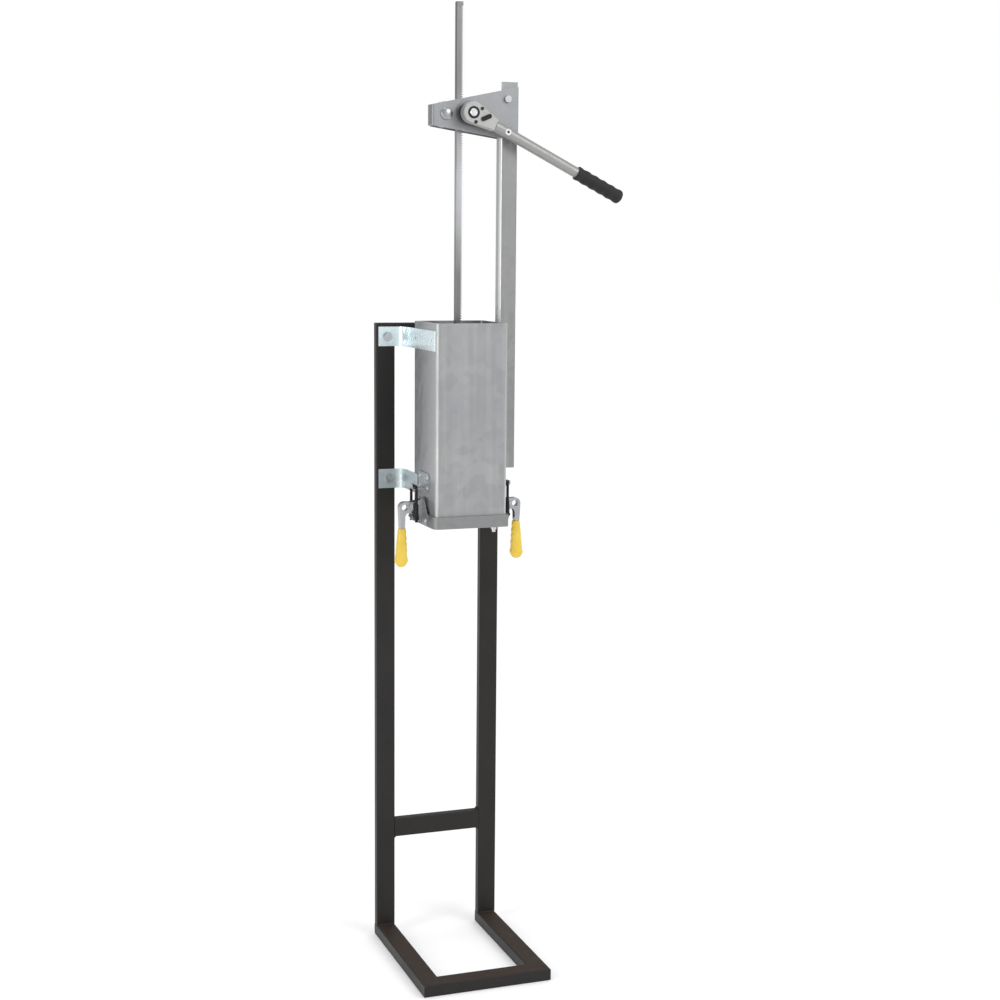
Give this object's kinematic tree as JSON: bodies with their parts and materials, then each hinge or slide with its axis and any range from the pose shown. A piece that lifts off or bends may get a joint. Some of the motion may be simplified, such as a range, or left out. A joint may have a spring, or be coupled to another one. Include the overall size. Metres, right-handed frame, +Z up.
{
  "type": "pottery clay extruder",
  "caption": "Floor-standing clay extruder: tube stand, square galvanised barrel with a latched die frame, and a ratchet lever that drives a toothed rack and plunger.",
  "frame": {"origin": "on the floor, under the middle of the stand's front bar; the barrel's axis stands 175 mm behind it", "axes": "+X to the right as seen from the front, +Y towards the back, +Z up along the barrel and rack"},
  "size_m": [0.4682, 0.366, 1.951],
  "materials": {
    "painted_tube": "satin dark paint",
    "galvanised_sheet": "hot-dip galvanised, matt",
    "bright_zinc": "bright zinc plated",
    "zinc_fasteners": "zinc plated",
    "plain_steel": "machined",
    "plunger_alloy": "sawn and turned",
    "satin_chrome": "satin chrome plated",
    "black_steel": "black oxide",
    "yellow_vinyl": "dipped soft vinyl",
    "black_rubber": "moulded rubber"
  },
  "bodies": {
    "stand_and_barrel": {"left_upright": "painted_tube", "right_upright": "painted_tube", "top_rail": "painted_tube", "cross_rail": "painted_tube", "left_foot": "painted_tube", "right_foot": "painted_tube", "front_bar": "painted_tube", "tube_end_caps": "painted_tube", "upper_left_bracket": "bright_zinc", "upper_right_bracket": "bright_zinc", "lower_left_bracket": "bright_zinc", "lower_right_bracket": "bright_zinc", "bracket_bolts": "zinc_fasteners", "bracket_nuts": "zinc_fasteners", "bracket_screws": "zinc_fasteners", "barrel": "galvanised_sheet", "die_frame": "galvanised_sheet", "die_plate": "plain_steel", "die_screws": "zinc_fasteners", "mast": "galvanised_sheet", "mast_spacer": "bright_zinc", "mast_bolts": "zinc_fasteners", "mast_nuts": "zinc_fasteners", "head_front_plate": "galvanised_sheet", "head_rear_plate": "galvanised_sheet", "head_bolts": "zinc_fasteners", "head_nuts": "zinc_fasteners", "front_bush": "plain_steel", "rear_bush": "plain_steel", "roller_spacers": "zinc_fasteners", "roller_axle": "zinc_fasteners", "left_latch_base": "galvanised_sheet", "right_latch_base": "galvanised_sheet", "left_keeper": "bright_zinc", "right_keeper": "bright_zinc", "latch_rivets": "zinc_fasteners"},
    "plunger_and_rack": {"rack": "plain_steel", "plunger_plate": "plunger_alloy", "plunger_wiper": "black_rubber", "plunger_screws": "zinc_fasteners"},
    "pinion_drive": {"pinion": "plain_steel", "pinion_shaft": "plain_steel", "shaft_pins": "black_steel", "drive_socket": "black_steel", "ratchet_gear": "black_steel"},
    "back_up_roller": {"guide_roller": "plain_steel"},
    "ratchet_lever": {"ratchet_housing": "satin_chrome", "ratchet_cover": "satin_chrome", "cover_screws": "black_steel", "handle_tube": "satin_chrome", "handle_screw": "zinc_fasteners", "handle_grip": "black_rubber"},
    "reversing_switch": {"reversing_lever": "black_steel"},
    "centre_button": {"release_button": "zinc_fasteners"},
    "left_latch_handle": {"left_latch_lever": "plain_steel", "left_latch_grip": "yellow_vinyl"},
    "left_hook_bolt": {"left_u_bolt": "black_steel"},
    "right_latch_handle": {"right_latch_lever": "plain_steel", "right_latch_grip": "yellow_vinyl"},
    "right_hook_bolt": {"right_u_bolt": "black_steel"}
  },
  "joints": [
    {"name": "rack_slide", "type": "slide", "parent": "stand_and_barrel", "child": "plunger_and_rack", "axis": [0, 0, 1], "range_m": [-0.122, 0.59]},
    {"name": "pinion_spin", "type": "hinge", "parent": "stand_and_barrel", "child": "pinion_drive", "pos_m": [0.00773, 0.175, 1.736], "axis": [0, 1, 0], "range_deg": [-807, 3878]},
    {"name": "roller_spin", "type": "hinge", "parent": "stand_and_barrel", "child": "back_up_roller", "pos_m": [-0.0372, 0.175, 1.734], "axis": [0, 1, 0], "range_deg": [-1360, 285]},
    {"name": "handle_swing", "type": "hinge", "parent": "stand_and_barrel", "child": "ratchet_lever", "pos_m": [0.00773, 0.133, 1.736], "axis": [0, 1, 0], "continuous": true},
    {"name": "reversing_lever_turn", "type": "hinge", "parent": "ratchet_lever", "child": "reversing_switch", "pos_m": [0.0274, 0.122, 1.72391], "axis": [0, 1, 0], "range_deg": [0, 100]},
    {"name": "centre_button_press", "type": "slide", "parent": "pinion_drive", "child": "centre_button", "axis": [0, 1, 0], "range_m": [0, 0.003], "stiffness_N_per_m": 400, "springref_m": -0.001},
    {"name": "left_latch_swing", "type": "hinge", "parent": "stand_and_barrel", "child": "left_latch_handle", "pos_m": [-0.1005, 0.175, 0.958], "axis": [0, 1, 0], "range_deg": [0, 110]},
    {"name": "left_hook_swing", "type": "hinge", "parent": "left_latch_handle", "child": "left_hook_bolt", "pos_m": [-0.0975, 0.175, 0.936], "axis": [0, 1, 0], "range_deg": [-78, 0]},
    {"name": "right_latch_swing", "type": "hinge", "parent": "stand_and_barrel", "child": "right_latch_handle", "pos_m": [0.1005, 0.175, 0.958], "axis": [0, -1, 0], "range_deg": [0, 110]},
    {"name": "right_hook_swing", "type": "hinge", "parent": "right_latch_handle", "child": "right_hook_bolt", "pos_m": [0.0975, 0.175, 0.936], "axis": [0, -1, 0], "range_deg": [-78, 0]}
  ],
  "couplings": [
    {"joint": "pinion_spin", "follows": "rack_slide", "rad_per_m": 114.53},
    {"joint": "roller_spin", "follows": "rack_slide", "rad_per_m": -40},
    {"joint": "left_hook_swing", "follows": "left_latch_swing", "ratio": -0.7},
    {"joint": "right_hook_swing", "follows": "right_latch_swing", "ratio": -0.7}
  ]
}
